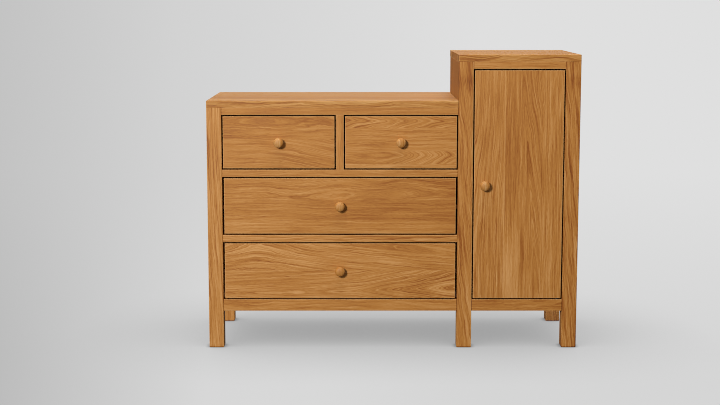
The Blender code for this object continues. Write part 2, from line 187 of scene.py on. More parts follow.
# A pale sweep all round: a wall that is lighter to the right, and the ground below it
sweep = {
    "wall": [(0.0, "#c3c3c3"), (0.36, "#d2d2d2"), (1.0, "#dfdfdf")],
    "ground": [(0.0, "#bcbcbc"), (0.42, "#d7d7d7"), (0.65, "#d8d8d8"), (1.0, "#d5d5d5")],
    "sideways": (-0.245, 0.084),  # of the line of sight: from where to where the greys run
    "downward": (-0.115, -0.235),  # and where the wall turns into the ground
    "room": "#f4f4f6",
    "ambient": 0.12,  # light that comes back from the whole room
    "floorSize": 30.0,
    "leaning": (-0.06, -0.14, 0.95),  # the floor sees more of the room to its left
    "contactReach": 0.52,  # how far from the dresser its soft shadow on the floor fades
    "contactDepth": 0.47,
    "touchReach": 0.016,  # and the thin dark line where the feet meet the floor
    "touchDepth": 0.25,
    "shadowSamples": 16,
}
world = bpy.data.worlds.new("studio_sweep")
scene.world = world
world.use_nodes = True
tree = world.node_tree
tree.nodes.clear()
where = addNode(tree, "SeparateXYZ", {0: addNode(tree, "TexCoord").outputs["Generated"]})
across = remap(tree, where.outputs[0], sweep["sideways"])
wall = addNode(tree, "Background", {0: addNode(tree, "ValToRGB", {0: across}, sweep["wall"])})
ground = addNode(tree, "Background", {0: addNode(tree, "ValToRGB", {0: across}, sweep["ground"])})
lowness = remap(tree, where.outputs[2], sweep["downward"])
seen = addNode(tree, "MixShader", {0: lowness, 1: wall, 2: ground})
room = addNode(tree, "Background", {0: linearColour(sweep["room"]), 1: sweep["ambient"]})
ray = addNode(tree, "LightPath")
mixed = addNode(tree, "MixShader", {0: ray.outputs["Is Camera Ray"], 1: room, 2: seen})
addNode(tree, "OutputWorld", {0: mixed})

# The floor is the sweep itself: it only darkens where the dresser keeps light away
floorMaterial, tree = bareMaterial("paper_sweep")
leaning = addNode(tree, "CombineXYZ", dict(enumerate(sweep["leaning"])))
samples = sweep["shadowSamples"]
around = {"Distance": sweep["contactReach"], "Normal": leaning}
openness = addNode(tree, "AmbientOcclusion", around, samples=samples)
soft = remap(tree, openness.outputs["AO"], result=(sweep["contactDepth"], 1.0))
near = addNode(tree, "AmbientOcclusion", {"Distance": sweep["touchReach"]}, samples=samples)
touch = remap(tree, near.outputs["AO"], result=(sweep["touchDepth"], 1.0))
dimmed = addNode(tree, "Math", {0: soft, 1: touch}, operation="MULTIPLY")
through = addNode(tree, "BsdfTransparent", {0: dimmed})
addNode(tree, "OutputMaterial", {0: through})
half = sweep["floorSize"] / 2
floorMesh = bpy.data.meshes.new("floor")
floorCorners = [(-half, -half, 0), (half, -half, 0), (half, half, 0), (-half, half, 0)]
floorMesh.from_pydata(floorCorners, [], [(0, 1, 2, 3)])
floorMesh.materials.append(floorMaterial)
floor = bpy.data.objects.new("floor", floorMesh)
scene.collection.objects.link(floor)
floor.visible_diffuse = False
floor.visible_glossy = False
floor.visible_shadow = False
print("studio: four lamps, sweep and floor")


# Oak, flat-sawn staves, honey stain and satin lacquer: soft bands along the rings that close in long
# points where the saw ran out of a ring, fine dark pore lines, edges painted paler, which is rubbing and
# painted highlight, and sides, ends and feet painted darker, which is painted shade and dark joints.
oakFinish = {
    "ramp": [(0.0, "#5a2a04"), (0.26, "#8d4b02"), (0.63, "#b1752e"), (1.0, "#c99356")],
    "range": (-0.35, 1.0),  # what the ramp spans; 0 to 1 is the figure, less is painted shade in gaps and at the feet, and dark joints
    "wander": (0.17, 0.045, 0.0075),  # length, width and height of the rings' slow waves
    "ripple": (0.032, 0.010, 0.0028),
    "band": (0.45, 0.0075, 0.60),  # length, width, share; several 2 mm rings, as single ones are too fine
    "line": (0.14, 0.0027, 1.0),
    "blotch": (0.22, 0.07, 0.25),
    "pore": (0.014, 0.0011, 0.16),  # pores are 0.3 mm wide, drawn coarser to show
    "poreEdge": (0.58, 0.72),  # the part of the noise that is pore
    "poreDepth": 0.6,  # in the bump, beside the ring lines
    # share of the edges' paint: rubbing and painted highlight above zero, painted shade below
    "wearAndPaintedLightShare": 0.60,
    "lineSpan": (0.3, 0.7),  # of the ring lines, over which the roughness rises
    "roughness": (0.52, 0.66),
    "ior": 1.42,
    "bump": 0.25,
    "bumpHeight": 0.0004,
}


def oakMaterial(name, finish):
    material, tree = bareMaterial(name)
    grain = addNode(tree, "Attribute", attribute_name="grain").outputs["Vector"]
    parts = addNode(tree, "SeparateXYZ", {0: grain})
    flatGrain = addNode(tree, "CombineXYZ", {1: parts.outputs[1], 2: parts.outputs[2]})
    radius = addNode(tree, "VectorMath", {0: flatGrain}, operation="LENGTH").outputs["Value"]
    # Ring distance from the pith, with slow waves and small ripples
    figureVector = addNode(tree, "Attribute", attribute_name="figure").outputs["Vector"]
    figure = addNode(tree, "SeparateXYZ", {0: figureVector})
    radius = addNode(tree, "Math", {0: radius, 1: figure.outputs[0]}, operation="ADD")
    for length, width, height in (finish["wander"], finish["ripple"]):
        noise = stretchedNoise(tree, grain, (length, width, width), 1.0)
        radius = addShare(tree, noise, 2 * height, radius)
    value = addNode(tree, "Math", {0: figure.outputs[1], 1: 0.5}, operation="ADD")
    ringed = addNode(tree, "CombineXYZ", {0: parts.outputs[0], 1: radius})
    for length, width, share in (finish["band"], finish["line"]):
        lines = stretchedNoise(tree, ringed, (length, width, 1), 2.0, noise_dimensions="2D")
        strong = addNode(tree, "Math", {0: figure.outputs[2], 1: share}, operation="MULTIPLY")
        value = addShare(tree, lines, strong, value)
    length, width, share = finish["blotch"]
    blotch = stretchedNoise(tree, grain, (length, width, width), 1.0)
    value = addShare(tree, blotch, share, value)
    length, width, share = finish["pore"]
    poreNoise = stretchedNoise(tree, grain, (length, width, width), 0.0)
    pores = remap(tree, poreNoise, finish["poreEdge"])
    value = addNode(tree, "Math", {0: pores, 1: -share, 2: value}, operation="MULTIPLY_ADD")
    # Edges painted paler, rubbing and painted highlight; sides and ends painted darker, painted shade
    wearAndPaintedLight = addNode(tree, "Attribute", attribute_name="wearAndPaintedLight").outputs["Fac"]
    value = addNode(tree, "Math", {0: wearAndPaintedLight, 1: finish["wearAndPaintedLightShare"], 2: value}, operation="MULTIPLY_ADD")
    colour = addNode(tree, "ValToRGB", {0: remap(tree, value, finish["range"])}, finish["ramp"])
    rough = remap(tree, lines, finish["lineSpan"], finish["roughness"])
    height = addNode(tree, "Math", {0: pores, 1: -finish["poreDepth"], 2: lines}, operation="MULTIPLY_ADD")
    relief = {"Height": height, "Strength": finish["bump"], "Distance": finish["bumpHeight"]}
    bump = addNode(tree, "Bump", relief)
    look = {"Base Color": colour, "Roughness": rough, "IOR": finish["ior"], "Normal": bump}
    addNode(tree, "OutputMaterial", {0: addNode(tree, "BsdfPrincipled", look)})
    return material


honeyOak = oakMaterial("honey_oak_satin", oakFinish)
# The knobs: the same oak, a little less red and paler at the light end, partly paler wood and partly a
# painted sheen
knobRamp = [(0.0, "#5a2a04"), (0.26, "#8d4b05"), (0.63, "#b17733"), (1.0, "#c99e69")]
knobSheenOak = oakMaterial("honey_oak_knob_painted_sheen", {**oakFinish, "ramp": knobRamp})
# The tops: the same oak, a little yellower, a painted sheen of the lamps over them, and smoother
topSheenRamp = [(0.0, "#5a2a04"), (0.26, "#8c4c03"), (0.63, "#b0762f"), (1.0, "#c89557")]
topSheenOak = oakMaterial("honey_oak_top_painted_sheen", {**oakFinish, "ramp": topSheenRamp, "bump": 0.05})
print("finishes: oak")


def smoothLine(points, s):
    # A cubic through the points, with the mean slope of both sides at each, level beyond the ends
    x, y = np.array(points, float).T
    if len(x) == 1:
        return np.full(len(s), y[0])
    slope = np.gradient(y, x)
    k = np.clip(np.searchsorted(x, s) - 1, 0, len(x) - 2)
    h = x[k + 1] - x[k]
    f = np.clip((s - x[k]) / h, 0, 1)
    rise = y[k] * (1 + 2 * f) * (1 - f) ** 2 + y[k + 1] * f ** 2 * (3 - 2 * f)
    return rise + h * f * (1 - f) * (slope[k] * (1 - f) - slope[k + 1] * f)


arcSteps = 3  # facets round each eased edge
endTurn = math.radians(80)  # how far round the eased ends go before the flat end face
edgeWearAndLightBand = 0.0009  # how far an edge's paler or darker band, rubbing, painted highlight and painted shade, runs in over the flat
rowStep = 0.010  # between rows of the mesh along the grain


def boardSurface(low, high, order, eased, ends, joints, shade, edges):
    # Profile: a rectangle with four eased corners, in across and thickness. It is carried along the
    # grain, and drawn in at both ends by each corner's radius times one minus the cosine of the turn.
    size = high - low
    a, c, t = ["xyz".index(letter) for letter in order]
    mid = (low + high) / 2
    halfC, halfT = size[c] / 2, size[t] / 2
    turn = np.linspace(0, math.pi / 2, arcSteps + 1)
    columns = np.array(sorted(joints, reverse=True)) - mid[c]
    signs = ((1, 1), (-1, 1), (-1, -1), (1, -1))
    points, normals, radii, profileWearAndPaintedLight = [], [], [], []

    def put(pc, pt, nc, nt, r, w):
        points.append(np.stack(np.broadcast_arrays(pc, pt), -1).reshape(-1, 2))
        normal = np.stack(np.broadcast_arrays(nc, nt), -1).reshape(-1, 2)
        normals.append(normal.repeat(np.size(pc) // np.size(nc), 0))
        radii.append(np.broadcast_to(r, points[-1].shape[0]))
        profileWearAndPaintedLight.append(np.broadcast_to(w, points[-1].shape[0]))

    def arc(k):
        sc, st = signs[k]
        angle = turn + k * math.pi / 2
        pc = sc * (halfC - eased[k]) + eased[k] * np.cos(angle)
        pt = st * (halfT - eased[k]) + eased[k] * np.sin(angle)
        put(pc, pt, np.cos(angle), np.sin(angle), eased[k], edges[k])

    # Narrow sides take shade[0] above and shade[1] below, eased corners their edges value: painted shade
    # below zero, rubbing and painted highlight above
    put(halfC, halfT - eased[0] - edgeWearAndLightBand, 1.0, 0.0, eased[0], shade[0])
    arc(0)
    flat = np.concatenate([[halfC - eased[0] - edgeWearAndLightBand], columns, [-halfC + eased[1] + edgeWearAndLightBand]])
    share = (halfC - flat) / size[c]
    put(flat, halfT, 0.0, 1.0, eased[0] * (1 - share) + eased[1] * share, 0.0)
    arc(1)
    put(-halfC, halfT - eased[1] - edgeWearAndLightBand, -1.0, 0.0, eased[1], shade[0])
    put(-halfC, -halfT + eased[2] + edgeWearAndLightBand, -1.0, 0.0, eased[2], shade[1])
    arc(2)
    flat = np.concatenate([[-halfC + eased[2] + edgeWearAndLightBand], columns[::-1], [halfC - eased[3] - edgeWearAndLightBand]])
    share = (flat + halfC) / size[c]
    put(flat, -halfT, 0.0, -1.0, eased[2] * (1 - share) + eased[3] * share, 0.0)
    arc(3)
    put(halfC, -halfT + eased[3] + edgeWearAndLightBand, 1.0, 0.0, eased[3], shade[1])
    points, normals = np.concatenate(points), np.concatenate(normals)
    radii, profileWearAndPaintedLight = np.concatenate(radii), np.concatenate(profileWearAndPaintedLight)

    # Stations along the grain: eased end, a row just inside it, even steps, and the same at the far end
    rise = np.linspace(endTurn, 0, arcSteps + 1)
    lowEnd = low[a] + ends[0] * (1 - np.sin(rise) / math.sin(endTurn))
    highEnd = high[a] - ends[1] * (1 - np.sin(rise[::-1]) / math.sin(endTurn))
    first, last = low[a] + ends[0] + edgeWearAndLightBand, high[a] - ends[1] - edgeWearAndLightBand
    inner = np.linspace(first, last, max(2, int(math.ceil((last - first) / rowStep)) + 1))
    along = np.concatenate([lowEnd, inner, highEnd])
    drawn = np.concatenate([1 - np.cos(rise), np.zeros(len(inner)), 1 - np.cos(rise[::-1])])
    onArc, onFlat = np.ones(arcSteps), np.zeros(len(inner))
    # Eased ends: paler for rubbing and painted highlight, darker for painted shade at the feet and the rails'
    # ends
    endWearAndPaintedLight = shade[2] * np.concatenate([[0], onArc, onFlat, onArc, [0]])

    stations, around = len(along), len(points)
    place = np.zeros((stations, around, 3))
    place[..., a] = along[:, None]
    inset = points[None] - (drawn[:, None] * radii[None])[..., None] * normals[None]
    place[..., c] = mid[c] + inset[..., 0]
    place[..., t] = mid[t] + inset[..., 1]
    wearAndPaintedLight = np.where(endWearAndPaintedLight[:, None] != 0, endWearAndPaintedLight[:, None], profileWearAndPaintedLight[None])
    # End faces: darker on the fronts, painted shade in the gaps beside them, partly darker end grain
    wearAndPaintedLight[0] = shade[3]
    wearAndPaintedLight[-1] = shade[3]

    s, u = np.meshgrid(np.arange(stations - 1), np.arange(around), indexing="ij")
    here, there = s * around, (s + 1) * around
    nextU = (u + 1) % around
    sides = np.stack([here + u, here + nextU, there + nextU, there + u], -1)
    k = np.arange(around // 2 - 1)
    cap = np.stack([k, k + 1, around - 2 - k, around - 1 - k], -1)
    faces = np.concatenate([sides.reshape(-1, 4), cap + (stations - 1) * around, cap[:, ::-1]])
    if np.linalg.det(np.eye(3)[[a, c, t]]) < 0:
        faces = faces[:, ::-1]
    # Which stave a face belongs to follows from the middle of its column
    sideMid = (points[:, 0] + np.roll(points[:, 0], -1)) / 2 + mid[c]
    capMid = (points[k, 0] + points[k + 1, 0]) / 2 + mid[c]
    faceAcross = np.concatenate([np.tile(sideMid, stations - 1), capMid, capMid])
    flatFace = np.concatenate([np.zeros(sides.size // 4, bool), np.ones(2 * len(k), bool)])
    return place.reshape(-1, 3), faces, faceAcross, flatFace, wearAndPaintedLight.reshape(-1)


def boardMesh(name, vertices, faces, flatFace):
    # Vertices and four-sided faces, as arrays, go into a mesh
    mesh = bpy.data.meshes.new(name)
    mesh.vertices.add(len(vertices))
    mesh.vertices.foreach_set("co", np.ascontiguousarray(vertices, np.float32).ravel())
    mesh.loops.add(faces.size)
    mesh.loops.foreach_set("vertex_index", np.ascontiguousarray(faces, np.int32).ravel())
    mesh.polygons.add(len(faces))
    mesh.polygons.foreach_set("loop_start", np.arange(0, faces.size, faces.shape[1], dtype=np.int32))
    mesh.update(calc_edges=True)
    mesh.polygons.foreach_set("use_smooth", ~flatFace)
    return mesh


def setCorners(mesh, corners):
    # Values at the corners of the faces, vectors or single numbers, for the material to read
    for key, values in corners.items():
        kind, field = ("FLOAT_VECTOR", "vector") if values.ndim == 2 else ("FLOAT", "value")
        layer = mesh.attributes.new(key, kind, "CORNER")
        layer.data.foreach_set(field, np.ascontiguousarray(values, np.float32).ravel())


def placePiece(mesh, node, material):
    # The mesh stands at the origin in place of a CAD node, and moves with that node's body
    mesh.materials.append(material)
    mesh.validate()
    piece = bpy.data.objects.new(mesh.name, mesh)
    scene.collection.objects.link(piece)
    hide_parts(node)
    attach(piece, nodes[node]["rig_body"])


seatGap = 0.00015  # boards that meet in a glued joint, drawn nearly closed
topGap = 0.00005  # between a top and the posts and rails under it
staveOffset = 3.7  # metres of log between one stave and the next, so that none repeats


def logNumber(node):
    return sum(ord(letter) for letter in node)


def oakBoard(
    node,
    order,
    staves,
    eased,
    ends,
    between=None,
    trim=(),
    material=honeyOak,
    shade=(0.0, 0.0, 1.0, 0.0),  # narrow sides, above and below, eased ends and end faces: painted shade below zero, rubbing and painted highlight above
    edges=(1.0, 1.0, 1.0, 1.0),  # long edges, by width and thickness: ++, -+, -- and +-; painted shade below zero, rubbing and painted highlight above
):
    # A solid oak board in place of a CAD board. Order names the axes of grain, width and thickness.
    low, high = [np.array(corner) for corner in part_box(node)]
    a, c, t = ["xyz".index(letter) for letter in order]
    if between:
        low[a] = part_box(between[0])[1][a] + seatGap
        high[a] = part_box(between[1])[0][a] - seatGap
    for letter, side, value in trim:
        (low if side == "low" else high)["xyz".index(letter)] = value
    eased = (eased,) * 4 if isinstance(eased, float) else eased
    ends = (ends,) * 2 if isinstance(ends, float) else ends
    joints = [stave["to"] for stave in staves[:-1]]
    surface = boardSurface(low, high, order, eased, ends, joints, shade, edges)
    vertices, faces, faceAcross, flatFace, wearAndPaintedLight = surface
    corner = vertices[faces.ravel()]
    which = np.searchsorted(joints, faceAcross).repeat(faces.shape[1])
    grain = np.zeros((len(corner), 3))
    figure = np.zeros((len(corner), 3))
    for number, stave in enumerate(staves):
        mine = which == number
        s = corner[mine, a]
        grain[mine, 0] = s + staveOffset * (number + logNumber(node))
        coarse = stave.get("coarse", 1.0)
        grain[mine, 1] = (corner[mine, c] - smoothLine(stave["pith"], s)) / coarse
        grain[mine, 2] = (smoothLine(stave["behind"], s) - (corner[mine, t] - low[t])) / coarse
        figure[mine, 0] = smoothLine(stave.get("rise", [(0, 0.0)]), s) / coarse
        figure[mine, 1] = smoothLine(stave.get("tone", [(0, 0.0)]), s)
        figure[mine, 2] = smoothLine(stave.get("bold", [(0, 1.0)]), s)
    mesh = boardMesh(node + "_oak", vertices, faces, flatFace)
    setCorners(mesh, {"grain": grain, "figure": figure, "wearAndPaintedLight": wearAndPaintedLight[faces.ravel()]})
    placePiece(mesh, node, material)


def planedOff(node, letters, play):
    # Trims that take a little off a board on both sides of each named axis
    low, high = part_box(node)
    trims = []
    for letter in letters:
        k = "xyz".index(letter)
        trims += [(letter, "low", low[k] + play), (letter, "high", high[k] - play)]
    return trims


def underTop(top):
    # The trim of a board that ends just under a top
    return [("z", "high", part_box(top)[0][2] - topGap)]


# How plain staves differ from one to the next
staveHabit = {
    "cut": 0.18,  # unevenness of the widths
    "pith": (0.02, 0.14),  # how far to one side the pith lies
    "behind": (0.02, 0.09),
    "drift": 0.03,
    "nearest": 0.012,
    "sway": 0.02,
    "tone": 0.10,
    "reach": 1.2,  # length of log over which all this happens
}


def plainStaves(first, last, width, start, seed):
    # Staves of about that width between two places, each with its own log: near or far pith, a slow drift
    # along the board from start, and a little lighter or darker than the next
    chance = np.random.default_rng(seed)
    habit = staveHabit
    count = max(1, int(round((last - first) / width)))
    uneven = chance.uniform(-habit["cut"], habit["cut"], count)
    cuts = first + (last - first) * (np.arange(1, count + 1) + uneven) / count
    middle, end = start + habit["reach"] / 2, start + habit["reach"]
    staves = []
    for number, cut in enumerate(cuts):
        centre = first + (last - first) * (number + 0.5) / count
        pith = centre + chance.choice([-1, 1]) * chance.uniform(*habit["pith"])
        behind = chance.uniform(*habit["behind"])
        drift = chance.uniform(-habit["drift"], habit["drift"])
        line = [(start, pith), (end, pith + chance.uniform(-habit["sway"], habit["sway"]))]
        depth = [(start, behind), (middle, max(habit["nearest"], behind + drift)), (end, behind)]
        tone = [(s, chance.uniform(-habit["tone"], habit["tone"])) for s in (start, end)]
        staves.append({"to": float(cut), "pith": line, "behind": depth, "tone": tone})
    return staves


# Drawer fronts: staves from the lowest up, the last one to the edge. Each has the line of its pith along
# the front, how far behind the face the pith lies, how the rings rise to the face, and its tone
drawerFronts = {
    "top_left_drawer_front": [
        {
            "to": 0.686,
            "pith": [(-0.55, 0.50)],
            "behind": [(-0.55, 0.03)],
            "rise": [(-0.55, 0.0), (-0.38, 0.002), (-0.19, 0.036)],
            "tone": [(0.0, -0.01)],
            "bold": [(-0.55, 0.8), (-0.19, 1.2)],
        },
        {
            "pith": [(-0.55, 0.740), (-0.19, 0.744)],
            "behind": [(-0.55, 0.022), (-0.45, 0.018), (-0.30, 0.022), (-0.19, 0.028)],
            "rise": [(0.0, 0.004)],
            "tone": [(-0.55, -0.08), (-0.19, -0.04)],
        },
    ],
    "top_right_drawer_front": [
        {"to": 0.604, "pith": [(0.0, 0.45)], "behind": [(0.0, 0.04)], "tone": [(-0.02, 0.30), (0.03, 0.08)]},
        {
            "to": 0.645,
            "pith": [(-0.15, 0.634), (0.2, 0.632)],
            "behind": [(0.0, 0.003)],
            "rise": [(-0.15, 0.0), (0.03, 0.006), (0.08, 0.028), (0.20, 0.092)],
            "coarse": 1.4,
            "bold": [(-0.1, 0.9), (0.1, 1.2)],
        },
        {"to": 0.720, "pith": [(0.0, 0.86)], "behind": [(0.0, 0.05)], "tone": [(0.0, 0.03)]},
        {
            "pith": [(-0.15, 0.744), (0.2, 0.742)],
            "behind": [(0.0, 0.003)],
            "rise": [(-0.15, 0.0), (0.0, 0.030), (0.10, 0.058), (0.20, 0.080)],
            "coarse": 1.4,
            "bold": [(0.0, 1.6)],
        },
    ],
    "middle_drawer_front": [
        {
            "to": 0.420,
            "pith": [(0.0, 0.28)],
            "behind": [(0.0, 0.05)],
            "tone": [(-0.5, 0.14), (0.2, -0.08)],
            "bold": [(-0.5, 1.0), (0.2, 0.8)],
        },
        {
            "to": 0.486,
            "pith": [(0.0, 0.33)],
            "behind": [(0.0, 0.05)],
            "tone": [(-0.5, -0.02), (0.2, -0.20)],
            "bold": [(-0.5, 1.0), (0.2, 0.7)],
        },
        {
            "pith": [
                (-0.55, 0.500),
                (-0.40, 0.500),
                (-0.30, 0.496),
                (-0.15, 0.504),
                (0.0, 0.507),
                (0.20, 0.502),
            ],
            "behind": [(0.0, 0.009)],
            "rise": [
                (-0.55, 0.006),
                (-0.42, 0.007),
                (-0.31, 0.009),
                (-0.17, 0.000),
                (-0.05, 0.009),
                (0.03, 0.004),
                (0.10, 0.012),
                (0.20, 0.016),
            ],
            "coarse": 1.1,
            "bold": [(0.0, 1.1)],
            "tone": [(-0.5, 0.03), (-0.1, -0.01), (0.2, -0.18)],
        },
    ],
    "bottom_drawer_front": [
        {
            "to": 0.256,
            "pith": [(-0.55, 0.183), (-0.25, 0.185), (0.0, 0.192), (0.20, 0.200)],
            "behind": [(0.0, 0.004)],
            "rise": [
                (-0.55, 0.062),
                (-0.40, 0.056),
                (-0.30, 0.053),
                (-0.22, 0.051),
                (-0.12, 0.044),
                (0.00, 0.028),
                (0.10, 0.012),
                (0.20, -0.005),
            ],
            "coarse": 0.85,
            "tone": [(-0.5, 0.09), (0.2, 0.07)],
            "bold": [(-0.5, 1.4), (0.0, 1.5), (0.2, 2.0)],
        },
        {
            "pith": [(-0.55, 0.375), (-0.30, 0.368), (-0.10, 0.345), (0.20, 0.310)],
            "behind": [(-0.55, 0.035), (-0.45, 0.062), (-0.29, 0.032), (-0.10, 0.022), (0.20, 0.018)],
            "rise": [(-0.25, 0.0), (0.20, 0.010)],
            "coarse": 0.8,
            "tone": [(-0.5, 0.08), (0.2, 0.06)],
            "bold": [(-0.5, 1.75), (0.2, 1.2)],
        },
    ],
}
doorStaves = [
    {
        "to": 0.357,
        "pith": [(0.16, 0.232)],
        "behind": [(0.16, 0.066), (0.45, 0.062), (0.60, 0.052), (0.76, 0.026), (0.90, 0.014)],
        "tone": [(0.16, -0.03), (0.5, 0.0), (0.9, 0.0)],
        "bold": [(0.16, 1.45), (0.9, 1.15)],
        "coarse": 0.65,
    },
    {"to": 0.3605, "pith": [(0.16, 0.60)], "behind": [(0.16, 0.05)], "tone": [(0.16, 0.36), (0.9, 0.14)]},
    {
        "to": 0.408,
        "pith": [(0.16, 0.60)],
        "behind": [(0.16, 0.05)],
        "tone": [(0.16, 0.30), (0.32, 0.22), (0.41, 0.0), (0.90, -0.06)],
    },
    {
        "to": 0.476,
        "pith": [(0.16, 0.469), (0.90, 0.416)],
        "behind": [(0.0, 0.003)],
        "rise": [(0.16, -0.0205), (0.45, 0.0), (0.90, 0.032)],
        "coarse": 0.9,
        "bold": [(0.0, 1.15)],
        "tone": [(0.16, -0.02), (0.9, -0.08)],
    },
    {"pith": [(0.16, 0.75)], "behind": [(0.16, 0.05)], "tone": [(0.5, 0.03)], "bold": [(0.5, 1.2)]},
]
frontShape = {
    "edge": 0.0012,
    "play": 0.0001,  # planed off all round for an easy fit
    # Top and bottom sides darker, painted shade in the gaps round each front; eased ends paler, rubbing and
    # painted highlight; end faces darker, painted shade in the side gaps and partly darker end grain
    "shade": (-0.5, -0.5, 1.0, -1.0),
}


def addFront(node, order, staves):
    edge = frontShape["edge"]
    trim = planedOff(node, "xz", frontShape["play"])
    oakBoard(node, order, staves, edge, edge, trim=trim, shade=frontShape["shade"])


for node, staves in drawerFronts.items():
    addFront(node, "xzy", staves)
addFront("door_panel", "zxy", doorStaves)
print("fronts: four drawers and the door")


# Posts run down into the legs. One stave each: the pith lies off to one side and drifts with the height
# Edges: above zero paler, rubbing and painted highlight; below zero painted shade, on the middle post beside
# the drawers' gap and on the right post on the edge turned from the key lamp
posts = {
    "front_left_post": {
        "pith": -0.70,
        "behind": 0.04,
        "lean": -0.05,
        "tone": [(0.0, 0.08)],
        "bold": 1.6,
        "coarse": 0.75,
        "edges": (1.0, 1.0, 1.0, 0.0),
    },
    "front_middle_post": {
        "pith": 0.10,
        "behind": 0.03,
        "lean": -0.11,
        "tone": [
            (0.0, 0.10),
            (0.10, 0.08),
            (0.18, -0.02),
            (0.26, -0.07),
            (0.50, -0.07),
            (0.70, -0.07),
            (0.80, -0.07),
            (0.835, -0.10),
            (0.868, -0.26),
            (0.905, -0.03),
            (0.93, -0.10),
        ],
        "bold": 1.4,
        "coarse": 1.3,
        "edges": (1.0, 1.0, -0.3, 1.0),
    },
    "front_right_post": {
        "pith": 0.44,
        "behind": 0.03,
        "lean": -0.09,
        "tone": [
            (0.0, -0.11),
            (0.70, -0.11),
            (0.80, -0.11),
            (0.835, -0.14),
            (0.868, -0.30),
            (0.905, -0.08),
            (0.93, -0.15),
        ],
        "bold": 1.55,
        "coarse": 1.2,
        "edges": (1.0, 1.0, 0.0, -0.3),
    },
    "rear_left_post": {"pith": -0.68, "behind": 0.06, "lean": 0.03, "tone": [(0.0, 0.02)]},
    "rear_middle_post": {"pith": 0.30, "behind": 0.05, "lean": 0.02},
    "rear_right_post": {"pith": 0.50, "behind": 0.05, "lean": -0.04},
}
postShape = {
    "edge": 0.0012,
    "ends": (0.0030, 0.00015),  # foot and top
    "bow": 0.012,  # how much deeper the pith lies half way up
    "shade": (0.0, 0.0, -0.7, 0.0),  # feet painted darker at the floor: painted shadow where they stand
    "edges": (0.0, 0.0, 0.0, 0.0),
}
for node, wood in posts.items():
    pith, behind = wood["pith"], wood["behind"]
    stave = {
        "pith": [(0.0, pith), (1.0, pith + wood["lean"])],
        "behind": [(0.0, behind), (0.5, behind + postShape["bow"]), (1.0, behind)],
        "tone": wood.get("tone", [(0.0, 0.0)]),
        "bold": [(0.0, wood.get("bold", 1.0))],
        "coarse": wood.get("coarse", 1.0),
    }
    oakBoard(
        node,
        "zxy",
        [stave],
        postShape["edge"],
        postShape["ends"],
        trim=underTop("low_top" if "left" in node else "tall_top"),
        shade=postShape["shade"],
        edges=wood.get("edges", postShape["edges"]),
    )

# Rails between the posts. The edge that meets a top stays nearly square, so the joint hardly shows
lowPosts = ("front_left_post", "front_middle_post")
tallPosts = ("front_middle_post", "front_right_post")
rearPosts = ("rear_left_post", "rear_right_post")
rails = {
    "low_top_rail": {"posts": lowPosts, "under": "low_top", "seed": 11, "bold": 0.75, "tone": 0.05},
    "upper_drawer_rail": {"posts": lowPosts, "seed": 12},
    "lower_drawer_rail": {"posts": lowPosts, "seed": 13, "bold": 1.9, "tone": 0.05},
    "low_bottom_rail": {"posts": lowPosts, "seed": 14, "tone": -0.03},
    "tall_top_rail": {"posts": tallPosts, "under": "tall_top", "seed": 15},
    "tall_bottom_rail": {"posts": tallPosts, "seed": 16, "tone": -0.22},
    "rear_bottom_rail": {"posts": rearPosts, "seed": 17},
}
railShape = {
    "stave": 0.1,
    "edge": 0.0010,
    "underTop": (0.00015, 0.0010, 0.0010, 0.00015),
    "ends": 0.0007,
    "shade": (-0.7, -0.7, -1.0, -1.0),  # top and bottom sides darker, painted shade in the gaps; dark glue lines and painted shade at the ends
}
for node, rail in rails.items():
    low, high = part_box(node)
    staves = plainStaves(low[2], high[2], railShape["stave"], low[0], rail["seed"])
    staves[0]["bold"] = [(0.0, rail.get("bold", 1.0))]
    staves[0]["tone"] = [(s, tone + rail.get("tone", 0.0)) for s, tone in staves[0]["tone"]]
    oakBoard(
        node,
        "xzy",
        staves,
        railShape["underTop"] if "under" in rail else railShape["edge"],
        railShape["ends"],
        between=rail["posts"],
        trim=underTop(rail["under"]) if "under" in rail else (),
        shade=railShape["shade"],
    )

divider = {
    "width": (-0.19, -0.15),
    "start": 0.58,
    "seed": 21,
    "edge": 0.0012,
    "ends": 0.00025,
    "rails": ("upper_drawer_rail", "low_top_rail"),
}
staves = plainStaves(*divider["width"], railShape["stave"], divider["start"], divider["seed"])
oakBoard("drawer_divider", "zxy", staves, divider["edge"], divider["ends"], divider["rails"])

# Tops, glued up from staves along the length. The front stave is set by itself
tops = {
    "low_top": {
        "ends": (0.0018, 0.0002),
        # Front top edge paler, rubbing and painted highlight; front lower edge darker, and under darkens the
        # front face towards it: painted shade over the joint with the rail
        "edges": (1.0, 0.5, -0.5, 0.0),
        "under": -0.34,
        "seed": 31,
        "front": {
            "pith": [(0.0, -0.218)],
            "behind": [(0.0, -0.05)],
            "rise": [
                (-0.6, 0.0),
                (-0.45, 0.005),
                (-0.30, -0.003),
                (-0.12, 0.006),
                (0.05, -0.003),
                (0.2, 0.004),
            ],
            "coarse": 1.3,
            "bold": [(0.0, 1.9)],
            "tone": [(0.0, 0.10)],
        },
    },
    "tall_top": {
        "ends": (0.0018, 0.0018),
        # As on the low top: painted highlight and rubbing on the front top edge, painted shade low on the
        # front
        "edges": (1.0, 0.1, -0.6, 0.0),
        "under": -0.50,
        # painted light: the whole tall top drawn lighter
        "lighter": 0.04,
        "seed": 32,
        "front": {
            "pith": [(0.0, -0.218)],
            "behind": [(0.0, -0.04)],
            "rise": [(0.21, 0.0), (0.28, 0.006), (0.36, -0.003), (0.44, 0.005), (0.52, -0.004), (0.6, 0.004)],
            "coarse": 1.2,
            "bold": [(0.0, 1.6)],
            "tone": [(0.0, 0.15)],
        },
    },
}
topShape = {
    "stave": 0.085,
    "eased": (0.0018, 0.0018, 0.00015, 0.00015),
    # eased ends a little paler: rubbing and a faint painted highlight
    "topEndWearAndHighlight": 0.1,
    "bold": 0.8,
    "contrast": 2.2,  # the staves differ more in tone than elsewhere
}
